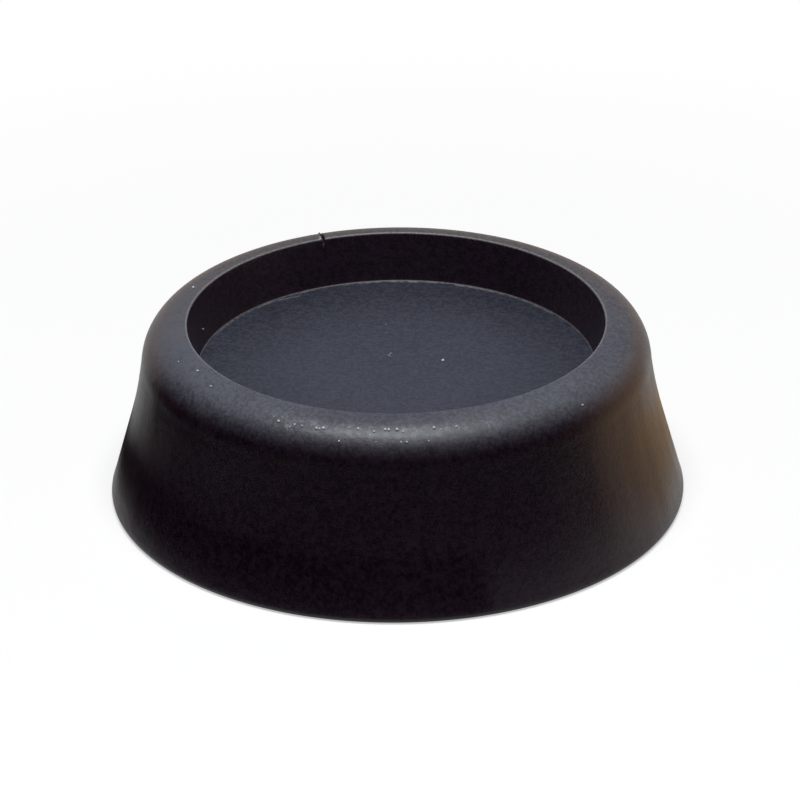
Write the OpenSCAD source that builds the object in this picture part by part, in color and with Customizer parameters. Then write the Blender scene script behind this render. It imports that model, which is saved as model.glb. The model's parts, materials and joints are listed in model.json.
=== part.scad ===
// Round anti-vibration pad: one moulded piece of rubber that goes under an appliance's foot.
// A flared skirt carries a rounded rim, and the foot stands in the shallow recess inside the rim.
// The origin is the middle of the underside, and +Z is up. All sizes are in millimetres.

/* [Body] */
// Diameter at the widest point, just above the floor
base_d = 62.5; // [62:0.5:66]
// Height from the underside to the top of the rim
pad_h = 20; // [18:0.5:22]
// Lean of the lower skirt from upright, in degrees
skirt_lean = 16; // [13:0.5:17]
// Lean of the collar above the skirt, in degrees
collar_lean = 9; // [6:0.5:11]
// Height at which the lines of the skirt and the collar would cross
waist_h = 11; // [9:0.5:12]
// Radius of the hollow curve that joins the skirt to the collar
waist_r = 45; // [20:5:50]
// Radius of the rim's rounded outer shoulder
shoulder_r = 4.5; // [3.5:0.1:4.9]
// Radius of the rounding along the bottom edge
foot_edge_r = 0.5; // [0.3:0.1:1]

/* [Recess] */
// Diameter of the recess at the top of the rim
mouth_d = 45; // [42:0.5:45.5]
// Depth of the recess below the top of the rim
recess_depth = 5.5; // [3:0.5:8]
// Draft of the recess wall from upright, in degrees
recess_draft = 10; // [4:1:14]
// Radius of the fine rounding along the lip
lip_r = 0.15; // [0.1:0.05:0.3]
// Radius of the fillet between the recess wall and its floor
corner_r = 0.2; // [0.1:0.1:1]

/* [Underside] */
// Number of ring grooves that grip the floor
groove_count = 3; // [1:1:3]
// Radius of the innermost groove, along its middle
groove_first_r = 11; // [8:0.5:12]
// Step from one groove's radius to the next
groove_step = 6; // [4:0.5:6.5]
// Width of a groove where it meets the floor
groove_w = 1.6; // [1.2:0.1:2.4]
// Width of a groove at its bottom
groove_bottom_w = 0.8; // [0.4:0.1:1]
// Depth of a groove
groove_depth = 0.7; // [0.4:0.1:1.5]

/* [Nick in the lip] */
// Direction of the nick from the axis, in degrees from +X towards +Y
nick_angle = 111; // [0:1:359]
// Turn of the nick away from a true radius, in degrees
nick_skew = -13; // [-20:1:20]
// Depth of the nick below the top of the rim
nick_depth = 0.6; // [0.4:0.05:1.5]
// Width of the nick at the top of the rim
nick_w = 0.4; // [0.3:0.05:1]

/* [Hidden] */
$fn = 180;
WAIST_FN = 1440;
RUBBER = [0.09, 0.09, 0.10];
OVERCUT = 1;

base_r = base_d / 2;
mouth_r = mouth_d / 2;
floor_z = pad_h - recess_depth;

// The rounding along the bottom edge touches the floor and the line of the skirt.
foot_edge_x = base_r - foot_edge_r;
foot_edge_end = [foot_edge_x, foot_edge_r] + foot_edge_r * [cos(skirt_lean), sin(skirt_lean)];
skirt_foot_x = foot_edge_x + foot_edge_r * (1 + sin(skirt_lean)) / cos(skirt_lean);

// The lines of the skirt and the collar cross at the waist, and the hollow curve touches both.
waist_x = skirt_foot_x - waist_h * tan(skirt_lean);
waist_reach = waist_r * tan((skirt_lean - collar_lean) / 2);
waist_low = [waist_x, waist_h] + waist_reach * [sin(skirt_lean), -cos(skirt_lean)];
waist_high = [waist_x, waist_h] + waist_reach * [-sin(collar_lean), cos(collar_lean)];
waist_centre = waist_low + waist_r * [cos(skirt_lean), sin(skirt_lean)];

// The shoulder's arc leaves the collar smoothly and ends level with the top of the rim.
shoulder_z = pad_h - shoulder_r;
collar_end_z = shoulder_z + shoulder_r * sin(collar_lean);
collar_end_x = waist_x - (collar_end_z - waist_h) * tan(collar_lean);
shoulder_x = collar_end_x - shoulder_r * cos(collar_lean);

// The lip's rounding touches the top of the rim and the recess wall.
lip_z = pad_h - lip_r;
lip_x = mouth_r + lip_r * (1 - sin(recess_draft)) / cos(recess_draft);
lip_end = [lip_x, lip_z] + lip_r * [-cos(recess_draft), sin(recess_draft)];

// The fillet touches the recess wall and its floor.
corner_z = floor_z + corner_r;
floor_edge_x = mouth_r - recess_depth * tan(recess_draft);
corner_x = floor_edge_x - corner_r * (1 - sin(recess_draft)) / cos(recess_draft);
corner_end = [corner_x, corner_z] + corner_r * [cos(recess_draft), -sin(recess_draft)];

// Half of the outside section, before anything is cut from it.
module outside_section() {
    difference() {
        union() {
            polygon([
                [0, 0],
                [foot_edge_x, 0],
                foot_edge_end,
                waist_low,
                waist_high,
                [collar_end_x, collar_end_z],
                [shoulder_x, shoulder_z],
                [shoulder_x, pad_h],
                [0, pad_h]
            ]);
            translate([foot_edge_x, foot_edge_r]) circle(foot_edge_r);
            translate([shoulder_x, shoulder_z]) circle(shoulder_r);
        }
        translate(waist_centre) circle(waist_r, $fn = WAIST_FN);
    }
}

// Half of the recess's section, open at the top.
module recess_section() {
    difference() {
        union() {
            polygon([
                [0, floor_z],
                [corner_x, floor_z],
                corner_end,
                lip_end,
                [lip_x, pad_h],
                [lip_x, pad_h + OVERCUT],
                [0, pad_h + OVERCUT]
            ]);
            translate([corner_x, corner_z]) circle(corner_r);
        }
        translate([lip_x, lip_z]) circle(lip_r);
    }
}

// One groove's section, with sloping sides, open at the underside.
module groove_section(radius) {
    side = (groove_w - groove_bottom_w) / 2 / groove_depth;
    polygon([
        [radius - groove_w / 2 - side * OVERCUT, -OVERCUT],
        [radius + groove_w / 2 + side * OVERCUT, -OVERCUT],
        [radius + groove_bottom_w / 2, groove_depth],
        [radius - groove_bottom_w / 2, groove_depth]
    ]);
}

// Half of the whole section, which is turned about +Z.
module pad_section() {
    difference() {
        outside_section();
        recess_section();
        for (i = [0 : groove_count - 1])
            groove_section(groove_first_r + i * groove_step);
    }
}

// A vee through the lip with a level bottom, so it runs out where the shoulder falls away.
module nick() {
    half_w = nick_w / 2 * (nick_depth + OVERCUT) / nick_depth;
    rotate(nick_angle)
        translate([mouth_r, 0, pad_h])
            rotate(nick_skew)
                translate([-OVERCUT, 0, 0])
                    rotate([90, 0, 90])
                        linear_extrude(shoulder_x - mouth_r + shoulder_r + OVERCUT)
                            polygon([
                                [0, -nick_depth],
                                [half_w, OVERCUT],
                                [-half_w, OVERCUT]
                            ]);
}

// The moulded rubber pad.
module pad() {
    color(RUBBER)
        difference() {
            rotate_extrude() pad_section();
            nick();
        }
}

pad();
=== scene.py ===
import json
import math
from types import SimpleNamespace

import bpy
import numpy as np
from mathutils import Matrix, Vector, noise


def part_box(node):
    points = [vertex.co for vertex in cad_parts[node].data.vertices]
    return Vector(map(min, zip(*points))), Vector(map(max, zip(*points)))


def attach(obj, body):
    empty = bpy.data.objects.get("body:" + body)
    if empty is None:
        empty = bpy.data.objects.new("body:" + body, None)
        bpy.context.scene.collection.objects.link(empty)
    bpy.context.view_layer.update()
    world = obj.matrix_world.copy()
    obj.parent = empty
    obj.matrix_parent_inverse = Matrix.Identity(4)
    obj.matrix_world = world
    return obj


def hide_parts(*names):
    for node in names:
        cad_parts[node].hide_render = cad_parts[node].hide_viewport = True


# The looks of a round anti-vibration pad: one piece of moulded black rubber on a pale floor.
# The pad's lengths are in millimetres until a mesh is built, and the camera's and the studio's in metres.
# Angles go round from +X towards +Y. Left, right, front and back are as the camera sees them.

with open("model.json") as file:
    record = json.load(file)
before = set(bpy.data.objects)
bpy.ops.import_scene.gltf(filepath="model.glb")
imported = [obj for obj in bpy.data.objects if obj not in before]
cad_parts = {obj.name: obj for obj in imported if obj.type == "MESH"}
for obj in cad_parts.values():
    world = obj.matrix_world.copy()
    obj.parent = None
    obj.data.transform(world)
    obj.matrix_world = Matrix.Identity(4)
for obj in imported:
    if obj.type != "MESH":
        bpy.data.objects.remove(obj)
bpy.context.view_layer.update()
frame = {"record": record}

MM = 0.001
pad_low, pad_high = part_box("pad")
BASE_R = (pad_high.x - pad_low.x) / 2 / MM
PAD_H = pad_high.z / MM
SEAT = next(m for m in frame["record"]["mounts"] if m["name"] == "seat")
FLOOR_Z = SEAT["pos_m"][2] / MM

# The section, as the solid has it.
SKIRT_LEAN = math.radians(16)
COLLAR_LEAN = math.radians(9)
WAIST_H = 11
WAIST_R = 45
SHOULDER_R = 4.5
FOOT_EDGE_R = 0.5
MOUTH_R = 22.5
WALL_DRAFT = math.radians(10)
LIP_R = 0.15
CORNER_R = 0.2
GROOVE_COUNT = 3
GROOVE_FIRST_R = 11
GROOVE_STEP = 6
GROOVE_W = 1.6
GROOVE_BOTTOM_W = 0.8
GROOVE_DEPTH = 0.7
GROOVE_EDGE = 0.04
GROOVE_EDGE_LEAN = 0.4

# The nick that runs outwards through the lip, its torn edge and the nib at its outer end. It changes the mesh
# only within the zone to each side of its angle, and down to the lowest point below the rim.
NICK_ANGLE = math.radians(111)
NICK_SKEW = math.radians(-13)
NICK_DEPTH = 0.6
NICK_W = 0.4
NICK_ZONE = math.radians(3.2)
NICK_LOWEST = 2
TORN_H = 0.12
TORN_W = 0.14
TORN_OUT = 0.15
TORN_FADES = 0.5
NIB_H = 0.22
NIB_OUT = 2.25
NIB_ACROSS = 0.4
NIB_FADES = 0.25

# The thin, broken line of flash round the floor of the recess. It wanders slowly and quickly, thins out in
# a gap, and is torn inwards at the jag.
FLASH_R = 21.29
FLASH_H = 0.10
FLASH_W = 0.07
FLASH_WANDER = 0.07
FLASH_QUICK = 0.8
FLASH_MIDDLE = math.radians(94)
FLASH_REACH = math.radians(66)
FLASH_FADE = math.radians(5)
FLASH_GAP = math.radians(111)
FLASH_GAP_WIDTH = math.radians(7)
FLASH_GAP_LOSS = 0.9
FLASH_MEAN = 0.6
FLASH_SWING = 1.5
FLASH_LEAST = 0.15
JAG_ANGLE = math.radians(121.5)
JAG_SPAN = math.radians(7.5)
JAG_RISE = 0.25
JAG_IN = 0.6
JAG_SHARE = 0.75

# How far the moulded surface is from true.
RIPPLE = 0.03

# The mesh: the small holes in the middle that a fan closes, the steps round the pad outside the nick and
# across it, and a hair's breadth.
POLE_R = 0.8
COARSE_STEPS = 520
FINE_STEPS = 88
HAIR = 0.01

# Dust: the angle in degrees, the distance from the axis and the size of each grain, as in the photograph.
FLOOR_GRAINS = [(9.6, 5.1, 0.33)]
RIM_GRAINS = [(159.0, 23.7, 0.30), (-150, 24.1, 0.28), (-141.7, 24.7, 0.25), (-158.1, 24.8, 0.18)]
SHOULDER_GRAINS = [
    (-118.4, 25.6, 0.30), (-114.2, 25.6, 0.24), (-112.4, 25.6, 0.24), (-108.8, 25.6, 0.34),
    (-108.1, 25.6, 0.26), (-107.2, 25.5, 0.36), (-101.3, 25.2, 0.16), (-99.1, 25.2, 0.26),
    (-95.3, 25.4, 0.22), (-92.7, 25.2, 0.32), (-91.9, 25.2, 0.30), (-90.0, 25.2, 0.36),
    (-88.6, 25.4, 0.20), (-81.3, 25.2, 0.34), (-79.8, 25.4, 0.18), (-76.1, 25.3, 0.22),
    (-103.0, 26.4, 0.22), (-94.7, 26.3, 0.16), (-89.1, 26.3, 0.20), (-87.8, 26.3, 0.22),
    (-82.9, 26.3, 0.18), (-43.0, 26.4, 0.22),
]
DULL_GRAINS = [(96.5, 10.0, 0.16), (97.7, 8.1, 0.12)]
# The grain on the wall of the recess: its angle, its distance from the axis, its height and its size.
WALL_GRAIN = (165.1, 21.8, 16.3, 0.24)
GRAIN_RINGS = 5
GRAIN_SIDES = 8
GRAIN_LUMPS = 1.7
GRAIN_PUSH = 0.28
GRAIN_RISE = 0.15
GRAIN_SEED = 0.7
GRAIN_SEED_STEP = 3.1

# The lint fibre: where its middle lies, its size, and how it sways, curls, lifts and tapers.
LINT_ANGLE = math.radians(105.9)
LINT_OUT = 2.5
LINT_LENGTH = 1.1
LINT_R = 0.045
LINT_STEPS = 14
LINT_SWAY = 0.16
LINT_SWAY_TURN = 7
LINT_CURL = 0.07
LINT_CURL_TURN = 15
LINT_LIFT = 0.05
LINT_TAPER = 0.6

# The camera, which stands where the photograph was taken from. Its lens and its sensor are in millimetres.
ELEVATION = math.radians(26.56)
ROLL = math.radians(-0.54)
DISTANCE = 0.4657
LENS = 193.1
SENSOR = 36
AIM = Vector((0.00034, 0, 0.01025))

# The noises of the rubber and the dust: the waves in a millimetre, the octaves and how rough they are.
FINE_NOISE = (6.0, 2, 0.5)
GRAIN_NOISE = (2.6, 4, 0.65)
PEBBLE_NOISE = (1.3, 3, 0.65)
MOTTLE_NOISE = (0.55, 4, 0.6)
CLUSTER_NOISE = (0.22, 3, 0.7)
CLOUD_NOISE = (0.11, 3, 0.5)
GLINT_SPECKS_PER_MM = 2.3
DUST_NOISE = (9, 3, 0.6)
FIBRE_NOISE = (5, 3, 0.6)

# Stretches of a noise, which lies round 0.5. The narrower the stretch, the sharper its patches.
BROAD = (0.25, 0.75)
EVEN = (0.30, 0.70)
SOFT = (0.35, 0.65)
MIDDLE = (0.38, 0.62)
SHARP = (0.40, 0.60)

# What the looks of the rubber depend on. Each has the stretch of a noise, or of the pad in millimetres, and
# the two amounts that it goes between.
FILM_BY_MOTTLE = (BROAD, (0.80, 1.0))
FILM_BY_GRAIN = (MIDDLE, (0.74, 1.10))
FILM_BY_PEBBLE = (MIDDLE, (0.86, 1.08))
# Painted light in the film: it is thicker on the left of the rim and, as painted shade, thinner in front.
PAINTED_SHEEN_FROM_LEFT = ((-27, -13), (1.35, 1.0))
PAINTED_SHADE_IN_FRONT = ((-26, -19), (0.74, 1.0))
# Painted shade in patches on the floor of the recess, more of it towards the wall.
SHADE_PATCHES_FROM_MIDDLE = ((8, 20), (0.0, 1.0))
SHADE_PATCHES_BY_PEBBLE = (SHARP, (1.0, 0.66))
SHADE_PATCHES_BY_MOTTLE = (SOFT, (0.6, 1.0))
LIP_ACROSS = ((LIP_R / 2, LIP_R), (1.0, 0.0))
LIP_BY_GRAIN = ((0.30, 0.60), (0.6, 1.0))
# The lip's wear and painted highlight fade out towards the front.
LIP_HIGHLIGHT_FROM_FRONT = ((-21, -8), (0.15, 1.0))
# Where the painted highlight blotches and glints on the shoulder lie, and how they cluster.
SHOULDER_HIGHLIGHT_FROM_FRONT = ((-24, -20), (1.0, 0.0))
SHOULDER_HIGHLIGHT_FROM_LEFT = ((-15, -11), (0.15, 1.0))
SHOULDER_HIGHLIGHT_TO_RIGHT = ((5, 12), (1.0, 0.15))
HIGHLIGHT_BLOTCHES_BY_PEBBLE = ((0.46, 0.64), (0.0, 1.0))
HIGHLIGHT_BLOTCHES_BY_CLUSTER = ((0.0, 1.0), (0.35, 0.6))
SHOULDER_HIGHLIGHT_BY_CLUSTER = ((0.44, 0.60), (0.0, 1.0))
GLINT_SPECK_ACROSS = ((0.14, 0.34), (1.0, 0.0))
FRONT_TO_BACK = (-16, 26)

# How far a surface faces up where the film of dust and painted sheen lies, and in the shoulder's bands of
# painted highlight blotches and of painted glints.
FILM_FACING = (0.25, 0.95)
HIGHLIGHT_BLOTCHY = ((0.66, 0.80), (0.88, 0.94))
SPARKLES = ((0.72, 0.80), (0.86, 0.91))

# Where the recess's own look ends, and how low the lip's look reaches.
RECESS_R = FLASH_R + 0.15
RECESS_LOW = FLOOR_Z - 1
LIP_LOW = PAD_H - 1.1 * LIP_R

# How much of each thing shows in the rubber's colour, and the share of the glint specks that don't sparkle.
FILM_LOST_IN_RECESS = 0.45
SHADE_PATCHES_SHOW = 0.85
LIP_SHOWS = 0.5
CREST_HIGHLIGHT_SHOWS = 0.8
GLINT_SPECKS_SHOW = 0.85
DULL_GLINT_SPECKS = 0.60

# The gloss and the relief of the rubber, and of the flecks of dust and lint.
ROUGHNESS = (0.35, 0.46)
LIP_POLISH = 0.16
DUST_DULLS = 0.06
RUBBER_IOR = 1.5
RUBBER_SPECULAR = 0.32
RELIEF = 0.6
RELIEF_DEPTH = 0.03
FLECK_ROUGHNESS = (0.55, 0.85)
FLECK_RELIEF = 0.5
FLECK_RELIEF_DEPTH = 0.01

# Colours.
RUBBER = (0.0044, 0.0010, 0.0046, 1)
RUBBER_PALER = (0.0130, 0.0046, 0.0124, 1)
# Painted cool sheen: the rubber in the recess is bluer and a little paler.
RUBBER_IN_RECESS_WITH_COOL_SHEEN = (0.0088, 0.0070, 0.0112, 1)
# The film of dust and painted sheen: on the rim, towards the back and on the floor of the recess.
RIM_DUST_AND_SHEEN = (0.064, 0.067, 0.085, 1)
RIM_DUST_AND_SHEEN_PALER = (0.074, 0.078, 0.097, 1)
BACK_DUST_AND_SHEEN = (0.080, 0.069, 0.068, 1)
FLOOR_DUST_AND_SHEEN = (0.056, 0.0615, 0.089, 1)
# Painted shade in patches on the floor of the recess.
FLOOR_SHADE_PATCH = (0.012, 0.017, 0.029, 1)
# The lip, pale from wear and from a painted highlight.
WORN_LIP_AND_HIGHLIGHT = (0.24, 0.235, 0.245, 1)
# Painted highlights on the flash round the floor of the recess and on the torn edge of the nick.
FLASH_HIGHLIGHT = (0.115, 0.117, 0.138, 1)
TORN_EDGE_HIGHLIGHT = (0.36, 0.35, 0.35, 1)
# A painted highlight blotch and a painted glint speck, for the front of the shoulder.
HIGHLIGHT_BLOTCH = (0.20, 0.21, 0.23, 1)
GLINT_SPECK = (0.46, 0.47, 0.49, 1)
MINERAL_DUST = ((0.34, 0.36, 0.38, 1), (0.66, 0.68, 0.70, 1))
FIBRE = ((0.16, 0.165, 0.18, 1), (0.30, 0.30, 0.31, 1))
STONE = ((0.21, 0.165, 0.135, 1), (0.23, 0.18, 0.15, 1))
PAPER = (0.93, 0.91, 0.90, 1)
WHITE = (1, 1, 1, 1)
VELVET = (0.012, 0.008, 0.011, 1)
COOL = (0.74, 0.80, 1.0, 1)
WARM = (1.0, 0.70, 0.46, 1)
WARM_STRIP = (1.0, 0.66, 0.40, 1)
WARM_FOOT = (1.0, 0.70, 0.40, 1)
WARM_BACK = (1.0, 0.70, 0.42, 1)
LAMP = (0.96, 0.985, 1.0)
DIM_ROOM = (0.90, 0.94, 1.0, 1)
DIM_ROOM_STRENGTH = 0.10

# The studio, in metres: how far the floor reaches and lies under the base, and where its shadow fades out.
FLOOR_REACH = 0.7
FLOOR_STEPS = 64
FLOOR_DROP = 0.03 * MM
FLOOR_NOISE = (0.02, 2, 0.5)
SHADOW_FADES = ((0.05, 0.14), (0.5, 1.0))
CARD_STEPS = 24


# ---------------------------------------------------------------- the pad's section


def line(start, end, steps):
    """Points from start up to, and without, end."""
    parts = np.linspace(0, 1, steps, endpoint=False)[:, None]
    return np.array(start) * (1 - parts) + np.array(end) * parts


def arc(centre, radius, first, last, steps):
    """Points along an arc, both ends included. The angles are in radians, from outwards to up."""
    turn = np.linspace(first, last, steps + 1)
    return np.array(centre) + radius * np.stack([np.cos(turn), np.sin(turn)], axis=1)


def recess_section():
    """From the middle of the recess to the top of the rim."""
    lip_x = MOUTH_R + LIP_R * (1 - math.sin(WALL_DRAFT)) / math.cos(WALL_DRAFT)
    floor_edge = MOUTH_R - (PAD_H - FLOOR_Z) * math.tan(WALL_DRAFT)
    corner_x = floor_edge - CORNER_R * (1 - math.sin(WALL_DRAFT)) / math.cos(WALL_DRAFT)
    corner = arc((corner_x, FLOOR_Z + CORNER_R), CORNER_R, -math.pi / 2, -WALL_DRAFT, steps=6)
    lip = arc((lip_x, PAD_H - LIP_R), LIP_R, math.pi - WALL_DRAFT, math.pi / 2, steps=8)
    flash_starts = FLASH_R - FLASH_WANDER - JAG_IN - 2 * FLASH_W
    return [
        line((POLE_R, FLOOR_Z), (flash_starts, FLOOR_Z), steps=14),
        line((flash_starts, FLOOR_Z), (corner_x, FLOOR_Z), steps=26),
        corner,
        line(corner[-1], lip[0], steps=9)[1:],
        lip,
    ]


def outside_section():
    """From the top of the rim down to the bottom edge."""
    foot_x = BASE_R - FOOT_EDGE_R
    skirt_foot_x = foot_x + FOOT_EDGE_R * (1 + math.sin(SKIRT_LEAN)) / math.cos(SKIRT_LEAN)
    waist_x = skirt_foot_x - WAIST_H * math.tan(SKIRT_LEAN)
    reach = WAIST_R * math.tan((SKIRT_LEAN - COLLAR_LEAN) / 2)
    centre_x = waist_x + reach * math.sin(SKIRT_LEAN) + WAIST_R * math.cos(SKIRT_LEAN)
    centre_z = WAIST_H - reach * math.cos(SKIRT_LEAN) + WAIST_R * math.sin(SKIRT_LEAN)
    shoulder_z = PAD_H - SHOULDER_R
    collar_z = shoulder_z + SHOULDER_R * math.sin(COLLAR_LEAN)
    collar_x = waist_x - (collar_z - WAIST_H) * math.tan(COLLAR_LEAN)
    shoulder_x = collar_x - SHOULDER_R * math.cos(COLLAR_LEAN)
    shoulder = arc((shoulder_x, shoulder_z), SHOULDER_R, math.pi / 2, COLLAR_LEAN, steps=20)
    waist = arc((centre_x, centre_z), WAIST_R, math.pi + COLLAR_LEAN, math.pi + SKIRT_LEAN, steps=6)
    foot = arc((foot_x, FOOT_EDGE_R), FOOT_EDGE_R, SKIRT_LEAN, -math.pi / 2, steps=7)
    return [
        shoulder,
        line(shoulder[-1], waist[0], steps=6)[1:],
        waist,
        line(waist[-1], foot[0], steps=14)[1:],
        foot,
    ]


def groove_section(radius):
    """One groove of the underside, from its outer edge to its inner edge.

    Each corner is two points, just before it and just after it, so that smooth shading keeps it crisp."""
    wide, narrow = GROOVE_W / 2, GROOVE_BOTTOM_W / 2
    lean = GROOVE_EDGE_LEAN
    corners = [(wide, 0), (narrow, GROOVE_DEPTH), (-narrow, GROOVE_DEPTH), (-wide, 0)]
    nudges = [(1, 0, -lean, 1), (lean, -1, -1, 0), (1, 0, -lean, -1), (lean, 1, -1, 0)]
    points = []
    for (x, z), (before_x, before_z, after_x, after_z) in zip(corners, nudges):
        points.append((radius + x + before_x * GROOVE_EDGE, z + before_z * GROOVE_EDGE))
        points.append((radius + x + after_x * GROOVE_EDGE, z + after_z * GROOVE_EDGE))
    return np.array(points)


def underside_section():
    """From the bottom edge to the middle of the underside."""
    parts = []
    edge = BASE_R - FOOT_EDGE_R
    for number in reversed(range(GROOVE_COUNT)):
        groove = groove_section(GROOVE_FIRST_R + number * GROOVE_STEP)
        parts.append(line((edge, 0), groove[0], steps=3)[1:])
        parts.append(groove)
        edge = groove[-1][0]
    parts.append(line((edge, 0), (POLE_R, 0), steps=6)[1:])
    return parts


def pad_section():
    """The whole half section, from the middle of the recess round to the middle of the underside."""
    return np.concatenate(recess_section() + outside_section() + underside_section())


# ---------------------------------------------------------------- the pad's mesh


def ring_angles():
    """Angles round the pad, packed closely across the nick."""
    coarse = np.linspace(NICK_ZONE, 2 * math.pi - NICK_ZONE, COARSE_STEPS, endpoint=False)
    fine = np.linspace(-NICK_ZONE, NICK_ZONE, FINE_STEPS, endpoint=False)
    return NICK_ANGLE + np.concatenate([fine, coarse])


def round_noise(angles, scale, seed):
    """Smooth noise that closes on itself round the pad, from about -1 to 1."""
    ring = [(scale * math.cos(turn), scale * math.sin(turn), seed) for turn in angles.tolist()]
    return np.array([noise.noise(place) for place in ring])


def bump(distance, width):
    """A smooth hump of height 1 at no distance."""
    return np.exp(-((distance / width) ** 2))


def angle_gap(angles, middle):
    """How far each angle is from the middle one, from -pi to pi."""
    return (angles - middle + math.pi) % (2 * math.pi) - math.pi


def flash_height(r, angles):
    """Height of the flash over the floor, and 0 to 1 for how much of it there is.

    r has one row for each angle."""
    slow, quick = round_noise(angles, scale=9, seed=1.5), round_noise(angles, scale=34, seed=4.5)
    past_jag = angle_gap(angles, JAG_ANGLE) / JAG_SPAN
    jag = JAG_IN * np.interp(past_jag, [-JAG_RISE, 0, 1], [0, 1, 0])
    ridge_r = FLASH_R + FLASH_WANDER * (slow + FLASH_QUICK * quick) - jag
    there = np.clip((FLASH_REACH - np.abs(angle_gap(angles, FLASH_MIDDLE))) / FLASH_FADE, 0, 1)
    there = there * (1 - FLASH_GAP_LOSS * bump(angle_gap(angles, FLASH_GAP), FLASH_GAP_WIDTH))
    uneven = FLASH_MEAN + FLASH_SWING * round_noise(angles, scale=44, seed=8.5)
    patchy = np.clip(uneven, FLASH_LEAST, 1) * there
    patchy = np.maximum(patchy, JAG_SHARE * (jag > 0))
    share = bump(r - ridge_r[:, None], FLASH_W) * patchy[:, None]
    return FLASH_H * share, share


def nick_axes(x, y):
    """How far points lie along the nick from the lip, and how far across it."""
    start = MOUTH_R * np.array([math.cos(NICK_ANGLE), math.sin(NICK_ANGLE)])
    way = NICK_ANGLE + NICK_SKEW
    dx, dy = x - start[0], y - start[1]
    along = dx * math.cos(way) + dy * math.sin(way)
    across = dy * math.cos(way) - dx * math.sin(way)
    return along, across


def nick_surface(along, across):
    """Height of the nick's sides above the underside, and of its torn edge and its nib above the rim."""
    sides = PAD_H - NICK_DEPTH + NICK_DEPTH * (np.abs(across) / (NICK_W / 2)) ** 2
    edge = NICK_W / 2 + TORN_W / 2
    torn = TORN_H * bump(across - edge, TORN_W) * bump(along - TORN_OUT, TORN_FADES)
    nib = NIB_H * bump(across - NIB_ACROSS * edge, TORN_W) * bump(along - NIB_OUT, NIB_FADES)
    return sides, torn, nib


def pad_points(section, angles):
    """Every point of the turned section, with the flash, the nick and the surface's small errors.

    Also says how pale each point is: 1 on the flash and the torn edge, which carry a painted highlight, and
    -1 down in the nick."""
    r = np.repeat(section[:, 0][None, :], len(angles), axis=0)
    z = np.repeat(section[:, 1][None, :], len(angles), axis=0)
    turn = np.repeat(angles[:, None], len(section), axis=1)
    on_floor = np.isclose(z, FLOOR_Z)
    outside = (r > MOUTH_R) & (z > 2 * FOOT_EDGE_R) & (z < PAD_H - SHOULDER_R)

    uneven = round_noise(angles, scale=3, seed=12.5) + round_noise(angles, scale=14, seed=16.5)
    errors = RIPPLE * uneven - RIPPLE
    r = r + np.where(outside, errors[:, None], 0)

    height, share = flash_height(r, angles)
    z = z + np.where(on_floor, height, 0)
    pale = np.where(on_floor, share, 0)

    x, y = r * np.cos(turn), r * np.sin(turn)
    along, across = nick_axes(x, y)
    sides, torn, nib = nick_surface(along, across)
    near = (np.abs(angle_gap(turn, NICK_ANGLE)) < NICK_ZONE) & (z > PAD_H - NICK_LOWEST)
    on_rim = near & (r > MOUTH_R - HAIR)
    cut = near & (sides < z)
    pale = np.where(on_rim, np.clip(torn / TORN_H, 0, 1), pale)
    pale = np.where(cut, -1, pale)
    z = np.where(cut, sides, z) + np.where(on_rim, torn * ~cut + nib, 0)
    return np.stack([x, y, z], axis=2), pale


def build_mesh(name, points):
    """A closed mesh from rings of points, shaded smooth, with a fan over each end."""
    rings, count = points.shape[:2]
    verts = [tuple(p) for p in points.reshape(-1, 3) * MM]
    top = len(verts)
    verts.append((0, 0, FLOOR_Z * MM))
    verts.append((0, 0, 0))
    faces = []
    for i in range(rings):
        here, there = i * count, (i + 1) % rings * count
        for k in range(count - 1):
            faces.append((here + k, here + k + 1, there + k + 1, there + k))
        faces.append((top, here, there))
        faces.append((top + 1, there + count - 1, here + count - 1))
    mesh = bpy.data.meshes.new(name)
    mesh.from_pydata(verts, [], faces)
    mesh.validate()
    mesh.polygons.foreach_set("use_smooth", [True] * len(mesh.polygons))
    mesh.update()
    return mesh


def add_piece(name, shape, material):
    """An object in the scene, from a mesh or a curve and one material."""
    piece = bpy.data.objects.new(name, shape)
    piece.data.materials.append(material)
    bpy.context.scene.collection.objects.link(piece)
    return piece


def pad_piece(material):
    """The whole pad. Its mesh carries how pale each point is, for the painted highlights and the nick, and 0
    for the middles of its two fans.
    """
    points, pale = pad_points(pad_section(), ring_angles())
    mesh = build_mesh("rubber_pad", points)
    shares = mesh.attributes.new("pale", "FLOAT", "POINT")
    shares.data.foreach_set("value", np.concatenate([pale.reshape(-1), [0, 0]]))
    return add_piece("rubber_pad", mesh, material)


# ---------------------------------------------------------------- dust and lint


def surface_height(r):
    """Height of the floor of the recess, or of the rim and the shoulder, at a distance from the axis."""
    if r < MOUTH_R:
        return FLOOR_Z
    section = pad_section()
    upper = section[(section[:, 0] > MOUTH_R) & (section[:, 1] > WAIST_H)]
    order = np.argsort(upper[:, 0])
    return float(np.interp(r, upper[order, 0], upper[order, 1]))


def grain_points(size, seed):
    """A crumb of dust: a small ball, pushed about so that no two are alike."""
    ball = []
    for ring in range(GRAIN_RINGS):
        up = math.pi * (ring + 0.5) / GRAIN_RINGS
        for side in range(GRAIN_SIDES):
            turn = 2 * math.pi * side / GRAIN_SIDES
            way = Vector((math.sin(up) * math.cos(turn), math.sin(up) * math.sin(turn), math.cos(up)))
            push = GRAIN_PUSH * noise.noise(way * GRAIN_LUMPS + Vector((seed, 0, 0)))
            ball.append(way * size * (0.5 + push))
    return ball


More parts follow.
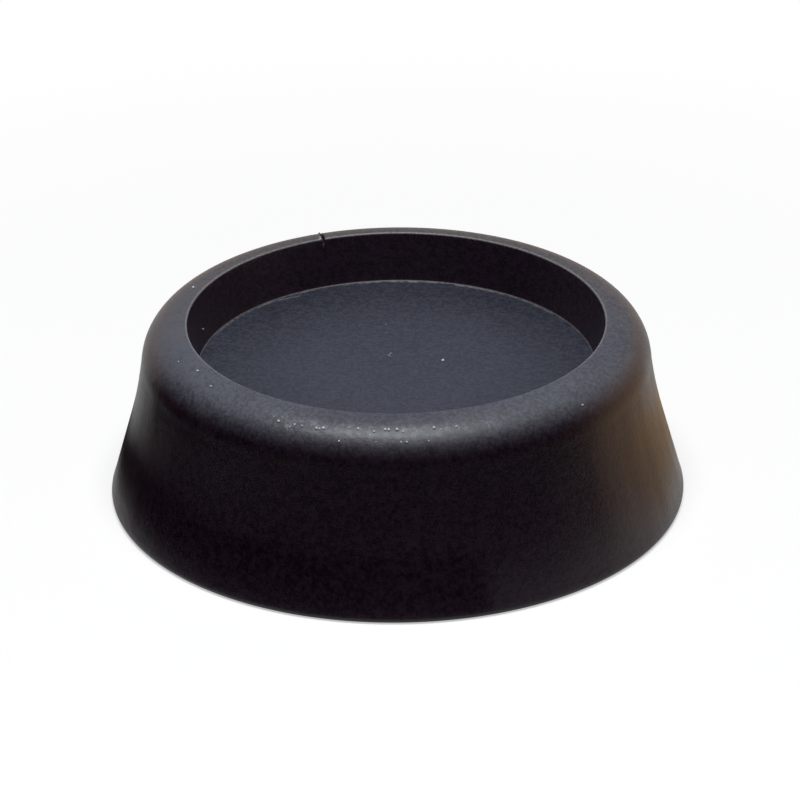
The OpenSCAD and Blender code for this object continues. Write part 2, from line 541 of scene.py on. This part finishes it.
def grain_faces(start):
    """The faces of a grain whose points are numbered from start."""
    last = start + (GRAIN_RINGS - 1) * GRAIN_SIDES
    faces = [tuple(range(start, start + GRAIN_SIDES))[::-1], tuple(range(last, last + GRAIN_SIDES))]
    for ring in range(start, last, GRAIN_SIDES):
        for side in range(GRAIN_SIDES):
            a, b = ring + side, ring + (side + 1) % GRAIN_SIDES
            faces.append((a, b, b + GRAIN_SIDES, a + GRAIN_SIDES))
    return faces


def lying(grains):
    """The grains with the height of each one's middle, sunk by about a third into what it lies on."""
    return [(angle, r, surface_height(r) + size * GRAIN_RISE, size) for angle, r, size in grains]


def dust_piece(name, grains, material):
    """One mesh of many grains, from each one's angle, distance from the axis, height and size."""
    verts, faces = [], []
    for number, (angle, r, z, size) in enumerate(grains):
        turn = math.radians(angle)
        place = Vector((r * math.cos(turn), r * math.sin(turn), z))
        points = grain_points(size, GRAIN_SEED_STEP * number + GRAIN_SEED)
        faces += grain_faces(len(verts))
        verts += [tuple((place + point) * MM) for point in points]
    mesh = bpy.data.meshes.new(name)
    mesh.from_pydata(verts, [], faces)
    mesh.polygons.foreach_set("use_smooth", [True] * len(mesh.polygons))
    return add_piece(name, mesh, material)


def lint_piece(material):
    """A short fibre that lies on the floor of the recess."""
    curve = bpy.data.curves.new("lint", "CURVE")
    curve.dimensions = "3D"
    curve.bevel_depth = LINT_R * MM
    curve.bevel_resolution = 2
    curve.use_fill_caps = True
    spline = curve.splines.new("POLY")
    spline.points.add(LINT_STEPS - 1)
    middle = Vector((LINT_OUT * math.cos(LINT_ANGLE), LINT_OUT * math.sin(LINT_ANGLE), FLOOR_Z + LINT_R))
    for i, point in enumerate(spline.points):
        along = i / (LINT_STEPS - 1)
        sway = LINT_SWAY * math.sin(LINT_SWAY_TURN * along) + LINT_CURL * math.sin(LINT_CURL_TURN * along)
        lift = LINT_LIFT * math.sin(math.pi * along)
        place = middle + Vector((sway, -LINT_LENGTH * (along - 0.5), lift))
        point.co = (*(place * MM), 1)
        point.radius = 1 - LINT_TAPER * abs(2 * along - 1) ** 3
    return add_piece("lint", curve, material)


# ---------------------------------------------------------------- materials


class Nodes:
    """Adds nodes to a material or the world and joins them up."""

    def __init__(self, owner):
        owner.use_nodes = True
        self.tree = owner.node_tree
        self.tree.nodes.clear()

    def add(self, kind, inputs=(), **settings):
        """A new node, with its settings, and a value or another node's output for each input."""
        node = self.tree.nodes.new(kind)
        for key, value in settings.items():
            setattr(node, key, value)
        for key, value in dict(inputs).items():
            self.put(node.inputs[key], value)
        return node

    def put(self, socket, value):
        if isinstance(value, bpy.types.NodeSocket):
            self.tree.links.new(value, socket)
        else:
            socket.default_value = value

    def math(self, operation, a, b=0.0, clamp=False):
        return self.add("ShaderNodeMath", {0: a, 1: b}, operation=operation, use_clamp=clamp).outputs[0]

    def product(self, *values):
        result = values[0]
        for value in values[1:]:
            result = self.math("MULTIPLY", result, value)
        return result

    def weighted_sum(self, *pairs):
        """The sum of values, each times its weight."""
        result = 0.0
        for value, weight in pairs:
            result = self.math("ADD", result, self.product(value, weight))
        return result

    def rest_of(self, value):
        """1 less the value."""
        return self.math("SUBTRACT", 1.0, value)

    def span(self, value, between, to=(0.0, 1.0)):
        """Takes the value's span between two numbers to another span, smoothly, and clamps it."""
        inputs = {"Value": value, "From Min": between[0], "From Max": between[1]}
        inputs.update({"To Min": to[0], "To Max": to[1]})
        return self.add("ShaderNodeMapRange", inputs, interpolation_type="SMOOTHSTEP").outputs["Result"]

    def span_mm(self, value, between, to=(0.0, 1.0)):
        """The same for a place on the pad, between two places in millimetres."""
        return self.span(value, (between[0] * MM, between[1] * MM), to)

    def band(self, value, rises, falls):
        """1 between the span where it rises and the span where it falls, and 0 outside them."""
        return self.product(self.span(value, rises), self.span(value, falls, to=(1.0, 0.0)))

    def noise(self, place, per_mm, octaves, rough):
        """Noise at a place in metres, from its waves in a millimetre."""
        inputs = {"Vector": place, "Scale": per_mm / MM, "Detail": octaves, "Roughness": rough}
        return self.add("ShaderNodeTexNoise", inputs).outputs["Fac"]

    def mix(self, factor, a, b):
        """The colour a where the factor is 0 and b where it is 1.

        The node's inputs 6 and 7 and its output 2 are the ones that hold colours."""
        node = self.add("ShaderNodeMix", data_type="RGBA")
        self.put(node.inputs[0], factor)
        self.put(node.inputs[6], a)
        self.put(node.inputs[7], b)
        return node.outputs[2]


def rubber_surface(n):
    """Where each point of the pad is, which way it faces, its noises and what its mesh says of it."""
    place = n.add("ShaderNodeTexCoord").outputs["Object"]
    axes = n.add("ShaderNodeSeparateXYZ", {0: place}).outputs
    normal = n.add("ShaderNodeNewGeometry").outputs["Normal"]
    flat = n.add("ShaderNodeCombineXYZ", {"X": axes["X"], "Y": axes["Y"]}).outputs[0]
    radius = n.add("ShaderNodeVectorMath", {0: flat}, operation="LENGTH").outputs["Value"]
    marks = n.add("ShaderNodeAttribute", attribute_name="pale").outputs["Fac"]
    inside = n.math("LESS_THAN", radius, RECESS_R * MM)
    over_floor = n.math("GREATER_THAN", axes["Z"], RECESS_LOW * MM)
    return SimpleNamespace(
        place=place,
        x=axes["X"],
        y=axes["Y"],
        radius=radius,
        facing=n.add("ShaderNodeSeparateXYZ", {0: normal}).outputs["Z"],
        grain=n.noise(place, *GRAIN_NOISE),
        pebble=n.noise(place, *PEBBLE_NOISE),
        mottle=n.noise(place, *MOTTLE_NOISE),
        cloud=n.noise(place, *CLOUD_NOISE),
        # The painted highlight on the flash and the torn edge.
        crest_highlight=n.math("MAXIMUM", marks, 0.0),
        in_nick=n.math("MAXIMUM", n.math("MULTIPLY", marks, -1.0), 0.0),
        in_recess=n.product(inside, over_floor),
        on_top=n.math("GREATER_THAN", axes["Z"], LIP_LOW * MM),
    )


def dust_and_sheen_film(n, point):
    """An uneven film on what faces up: dust, and painted sheen.

    It is thicker on the left of the rim as painted sheen and thinner in front as painted shade, thin in the
    recess, and not in the nick."""
    film = n.product(
        n.span(point.mottle, *FILM_BY_MOTTLE),
        n.span(point.grain, *FILM_BY_GRAIN),
        n.span(point.pebble, *FILM_BY_PEBBLE),
        n.span_mm(point.x, *PAINTED_SHEEN_FROM_LEFT),
        n.span_mm(point.y, *PAINTED_SHADE_IN_FRONT),
    )
    thinned = n.rest_of(n.product(point.in_recess, FILM_LOST_IN_RECESS))
    film_facing_up = n.product(n.span(point.facing, FILM_FACING), film, thinned)
    return n.math("MULTIPLY", film_facing_up, n.rest_of(point.in_nick), clamp=True)


def floor_shade_patches(n, point):
    """Painted shade: darker patches on the floor of the recess, more of them towards its edge."""
    return n.product(
        n.span_mm(point.radius, *SHADE_PATCHES_FROM_MIDDLE),
        n.span(point.pebble, *SHADE_PATCHES_BY_PEBBLE),
        n.span(point.mottle, *SHADE_PATCHES_BY_MOTTLE),
    )


def worn_and_highlit_lip(n, point):
    """The lip is rubbed smooth and a little pale, from wear and a painted highlight, but less so in front."""
    from_lip = n.math("ABSOLUTE", n.math("SUBTRACT", point.radius, (MOUTH_R + LIP_R / 2) * MM))
    return n.product(
        n.span_mm(from_lip, *LIP_ACROSS),
        point.on_top,
        n.span(point.grain, *LIP_BY_GRAIN),
        n.span_mm(point.y, *LIP_HIGHLIGHT_FROM_FRONT),
    )


def shoulder_highlight_and_glints(n, point):
    """Painted highlight on the front of the shoulder: blotches, and glint specks that sparkle there in
    clusters.
    """
    cluster = n.span(n.noise(point.place, *CLUSTER_NOISE), *SHOULDER_HIGHLIGHT_BY_CLUSTER)
    shoulder = n.product(
        n.band(point.facing, *HIGHLIGHT_BLOTCHY),
        n.span_mm(point.y, *SHOULDER_HIGHLIGHT_FROM_FRONT),
        n.span_mm(point.x, *SHOULDER_HIGHLIGHT_FROM_LEFT),
        n.span_mm(point.x, *SHOULDER_HIGHLIGHT_TO_RIGHT),
    )
    highlight_blotches = n.product(
        n.span(point.pebble, *HIGHLIGHT_BLOTCHES_BY_PEBBLE),
        shoulder,
        n.span(cluster, *HIGHLIGHT_BLOTCHES_BY_CLUSTER),
    )

    cell_inputs = {"Vector": point.place, "Scale": GLINT_SPECKS_PER_MM / MM, "Randomness": 1.0}
    cells = n.add("ShaderNodeTexVoronoi", cell_inputs).outputs
    chance = n.add("ShaderNodeSeparateColor", {0: cells["Color"]}).outputs[0]
    glint_specks = n.product(
        n.span(cells["Distance"], *GLINT_SPECK_ACROSS),
        n.math("GREATER_THAN", chance, DULL_GLINT_SPECKS),
        shoulder,
        n.band(point.facing, *SPARKLES),
        cluster,
    )
    return highlight_blotches, glint_specks


def rubber_colour(n, point, dust_and_sheen, lip, highlight_blotches, glint_specks):
    """Nearly black rubber under dust and painted sheen, then the worn lip and the painted highlights and
    glints.
    """
    body = n.mix(n.span(point.pebble, SOFT), RUBBER, RUBBER_PALER)
    # Painted cool sheen inside the recess.
    body = n.mix(point.in_recess, body, RUBBER_IN_RECESS_WITH_COOL_SHEEN)
    # The film of dust and painted sheen, warmer towards the back.
    on_rim = n.mix(n.span(point.cloud, SOFT), RIM_DUST_AND_SHEEN, RIM_DUST_AND_SHEEN_PALER)
    on_rim = n.mix(n.span_mm(point.y, FRONT_TO_BACK), on_rim, BACK_DUST_AND_SHEEN)
    # The floor of the recess, with patches of painted shade towards its edge.
    on_floor = n.mix(n.product(floor_shade_patches(n, point), SHADE_PATCHES_SHOW), FLOOR_DUST_AND_SHEEN, FLOOR_SHADE_PATCH)
    colour = n.mix(dust_and_sheen, body, n.mix(point.in_recess, on_rim, on_floor))
    # The lip: pale from wear and from a painted highlight.
    colour = n.mix(n.product(lip, LIP_SHOWS), colour, WORN_LIP_AND_HIGHLIGHT)
    # Painted highlights on the flash and the torn edge.
    colour = n.mix(n.product(point.crest_highlight, CREST_HIGHLIGHT_SHOWS), colour, n.mix(point.on_top, FLASH_HIGHLIGHT, TORN_EDGE_HIGHLIGHT))
    # Painted highlight blotches and painted glints on the front of the shoulder.
    colour = n.mix(highlight_blotches, colour, HIGHLIGHT_BLOTCH)
    return n.mix(n.product(glint_specks, GLINT_SPECKS_SHOW), colour, GLINT_SPECK)


def rubber_roughness(n, point, dust_and_sheen, lip, glint_specks):
    """Matt, smoother on the lip, and duller under dust, but not where a speck sparkles."""
    uneven = n.weighted_sum((point.grain, 0.6), (point.cloud, 0.4))
    rough = n.math("SUBTRACT", n.span(uneven, EVEN, ROUGHNESS), n.product(lip, LIP_POLISH))
    dulled = n.product(n.math("SUBTRACT", dust_and_sheen, glint_specks), DUST_DULLS)
    return n.math("ADD", rough, dulled, clamp=True)


def rubber_relief(n, point, glint_specks):
    """The fine grain, the pebbling and the specks stand out a little."""
    fine = n.noise(point.place, *FINE_NOISE)
    layers = ((point.grain, 0.6), (fine, 0.4), (point.mottle, 0.8), (point.pebble, 1.5), (glint_specks, 1.5))
    inputs = {"Strength": RELIEF, "Distance": RELIEF_DEPTH * MM, "Height": n.weighted_sum(*layers)}
    return n.add("ShaderNodeBump", inputs).outputs[0]


def rubber_material():
    """Black moulded rubber: a fine grain, dust and painted sheen where it faces up, a worn lip, and painted
    highlights on it and in front.
    """
    material = bpy.data.materials.new("moulded_rubber")
    n = Nodes(material)
    point = rubber_surface(n)
    dust_and_sheen = dust_and_sheen_film(n, point)
    lip = worn_and_highlit_lip(n, point)
    highlight_blotches, glint_specks = shoulder_highlight_and_glints(n, point)
    shader = n.add("ShaderNodeBsdfPrincipled", {
        "Base Color": rubber_colour(n, point, dust_and_sheen, lip, highlight_blotches, glint_specks),
        "Roughness": rubber_roughness(n, point, dust_and_sheen, lip, glint_specks),
        "IOR": RUBBER_IOR,
        "Specular IOR Level": RUBBER_SPECULAR,
        "Normal": rubber_relief(n, point, glint_specks),
    })
    n.add("ShaderNodeOutputMaterial", {"Surface": shader.outputs[0]})
    return material


def fleck_material(name, colours, noise_kind):
    """Pale mineral dust or a lint fibre, uneven between two colours."""
    material = bpy.data.materials.new(name)
    n = Nodes(material)
    place = n.add("ShaderNodeTexCoord").outputs["Object"]
    blotch = n.noise(place, *noise_kind)
    inputs = {"Strength": FLECK_RELIEF, "Distance": FLECK_RELIEF_DEPTH * MM, "Height": blotch}
    relief = n.add("ShaderNodeBump", inputs)
    shader = n.add("ShaderNodeBsdfPrincipled", {
        "Base Color": n.mix(n.span(blotch, EVEN), *colours),
        "Roughness": n.span(blotch, EVEN, FLECK_ROUGHNESS),
        "Normal": relief.outputs[0],
    })
    n.add("ShaderNodeOutputMaterial", {"Surface": shader.outputs[0]})
    return material


def seen_white(n):
    """1 for a ray that meets the white background: the camera's own, a reflected one or one through glass."""
    rays = n.add("ShaderNodeLightPath").outputs
    direct = n.math("MAXIMUM", rays["Is Camera Ray"], rays["Is Transmission Ray"])
    return n.math("MAXIMUM", direct, rays["Is Glossy Ray"])


def floor_material():
    """A pale floor. It is seen as white, with the pad's soft shadow on it, and throws little light back.

    From below it is clear, so that the underside can be seen."""
    material = bpy.data.materials.new("pale_floor")
    n = Nodes(material)
    place = n.add("ShaderNodeTexCoord").outputs["Object"]
    tone = n.span(n.noise(place, *FLOOR_NOISE), EVEN)
    away = n.add("ShaderNodeVectorMath", {0: place}, operation="LENGTH").outputs["Value"]

    stone = n.add("ShaderNodeBsdfDiffuse", {"Color": n.mix(tone, *STONE)})
    paper = n.add("ShaderNodeBsdfDiffuse", {"Color": PAPER})
    white = n.add("ShaderNodeEmission", {"Color": WHITE, "Strength": 1.0})
    fade = n.span(away, *SHADOW_FADES)
    pale = n.add("ShaderNodeMixShader", {0: fade, 1: paper.outputs[0], 2: white.outputs[0]})
    floor = n.add("ShaderNodeMixShader", {0: seen_white(n), 1: stone.outputs[0], 2: pale.outputs[0]})
    clear = n.add("ShaderNodeBsdfTransparent")
    below = n.add("ShaderNodeNewGeometry").outputs["Backfacing"]
    surface = n.add("ShaderNodeMixShader", {0: below, 1: floor.outputs[0], 2: clear.outputs[0]})
    n.add("ShaderNodeOutputMaterial", {"Surface": surface.outputs[0]})
    return material


def card_material(name, colour, glow):
    """Black velvet, or where it glows, a sheet that gives off light of its own."""
    material = bpy.data.materials.new(name)
    n = Nodes(material)
    if glow:
        surface = n.add("ShaderNodeEmission", {"Color": colour, "Strength": glow})
    else:
        surface = n.add("ShaderNodeBsdfDiffuse", {"Color": colour})
    n.add("ShaderNodeOutputMaterial", {"Surface": surface.outputs[0]})
    return material


# ---------------------------------------------------------------- the studio


def floor_piece():
    """A round floor just under the base, so that the two don't lie in one plane."""
    mesh = bpy.data.meshes.new("floor")
    turns = [2 * math.pi * i / FLOOR_STEPS for i in range(FLOOR_STEPS)]
    ring = [(FLOOR_REACH * math.cos(turn), FLOOR_REACH * math.sin(turn), -FLOOR_DROP) for turn in turns]
    mesh.from_pydata(ring, [], [tuple(range(FLOOR_STEPS))])
    return add_piece("floor", mesh, floor_material())


def softbox(name, place, size, radiance, colour):
    """A soft rectangular lamp that faces the pad. The camera doesn't see it."""
    width, height = size
    lamp = bpy.data.lights.new(name, "AREA")
    lamp.shape = "RECTANGLE"
    lamp.size, lamp.size_y = width, height
    lamp.energy = radiance * math.pi * width * height
    lamp.color = colour
    holder = bpy.data.objects.new(name, lamp)
    holder.location = place
    holder.rotation_mode = "QUATERNION"
    holder.rotation_quaternion = (AIM - Vector(place)).to_track_quat("-Z", "Y")
    holder.visible_camera = False
    bpy.context.scene.collection.objects.link(holder)


def card(name, first, last, distance, height, colour, glow=0):
    """A curved card round the pad, from one angle in degrees to another, that shows only in its gloss."""
    verts = []
    for i in range(CARD_STEPS + 1):
        turn = math.radians(first + (last - first) * i / CARD_STEPS)
        for z in (0, height):
            verts.append((distance * math.cos(turn), distance * math.sin(turn), z))
    faces = [(i, i + 2, i + 3, i + 1) for i in range(0, 2 * CARD_STEPS, 2)]
    mesh = bpy.data.meshes.new(name)
    mesh.from_pydata(verts, [], faces)
    piece = add_piece(name, mesh, card_material(name, colour, glow))
    piece.visible_camera = False
    piece.visible_shadow = False
    piece.visible_diffuse = False


def cards():
    """Black cards keep the white out of the rubber's gloss in front, on the left and by its foot.

    The others give it the tones of the photograph's room: cool behind, warm on the right and low behind."""
    card("front_card", first=165, last=345, distance=0.052, height=0.048, colour=VELVET)
    card("left_card", first=162, last=205, distance=0.0455, height=0.012, colour=VELVET)
    card("low_card", first=118, last=290, distance=0.0340, height=0.0050, colour=VELVET)
    # The cards from here on glow with light of their own and show as cool and warm reflections in the
    # rubber's gloss.
    card("cool_card", first=45, last=140, distance=0.25, height=0.24, colour=COOL, glow=0.42)
    card("warm_card", first=-15, last=45, distance=0.20, height=0.09, colour=WARM, glow=1.0)
    card("warm_strip", first=-20, last=20, distance=0.0485, height=0.02, colour=WARM_STRIP, glow=0.9)
    card("warm_foot", first=-15, last=62, distance=0.0365, height=0.006, colour=WARM_FOOT, glow=0.85)
    card("warm_back", first=30, last=160, distance=0.20, height=0.045, colour=WARM_BACK, glow=0.7)


def lamps():
    """One soft lamp overhead and a little in front, which lights the top and the front of the shoulder."""
    softbox("overhead", place=(0, -0.092, 0.60), size=(0.42, 0.25), radiance=12.4, colour=LAMP)


def surroundings():
    """White wherever the background is seen, and otherwise a dim cool room."""
    world = bpy.data.worlds.new("room")
    n = Nodes(world)
    white = n.add("ShaderNodeBackground", {"Color": WHITE, "Strength": 1.0})
    room = n.add("ShaderNodeBackground", {"Color": DIM_ROOM, "Strength": DIM_ROOM_STRENGTH})
    both = n.add("ShaderNodeMixShader", {0: seen_white(n), 1: room.outputs[0], 2: white.outputs[0]})
    n.add("ShaderNodeOutputWorld", {"Surface": both.outputs[0]})
    bpy.context.scene.world = world


def camera():
    """The photograph's camera: it looks down at the pad and is turned a little about its own axis."""
    ahead = Vector((0, math.cos(ELEVATION), -math.sin(ELEVATION)))
    right = Vector((1, 0, 0))
    up = right.cross(ahead)
    across = right * math.cos(ROLL) + up * math.sin(ROLL)
    over = up * math.cos(ROLL) - right * math.sin(ROLL)
    eye = AIM - ahead * DISTANCE
    lens = bpy.data.cameras.new("camera")
    lens.lens = LENS
    lens.sensor_width = SENSOR
    lens.clip_start, lens.clip_end = 0.01, 10
    holder = bpy.data.objects.new("camera", lens)
    holder.matrix_world = Matrix.Translation(eye) @ Matrix((across, over, -ahead)).transposed().to_4x4()
    bpy.context.scene.collection.objects.link(holder)
    bpy.context.scene.camera = holder


# ---------------------------------------------------------------- the scene

pad = pad_piece(rubber_material())
pale_dust = fleck_material("pale_dust", MINERAL_DUST, DUST_NOISE)
lint_fibre = fleck_material("lint_fibre", FIBRE, FIBRE_NOISE)
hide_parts("pad")
dust = dust_piece("dust", lying(FLOOR_GRAINS + RIM_GRAINS + SHOULDER_GRAINS), pale_dust)
crumbs = dust_piece("crumbs", lying(DULL_GRAINS) + [WALL_GRAIN], lint_fibre)
lint = lint_piece(lint_fibre)
for piece in (pad, dust, crumbs, lint):
    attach(piece, "root")

floor_piece()
camera()
cards()
lamps()
surroundings()
bpy.context.scene.view_settings.view_transform = "Standard"
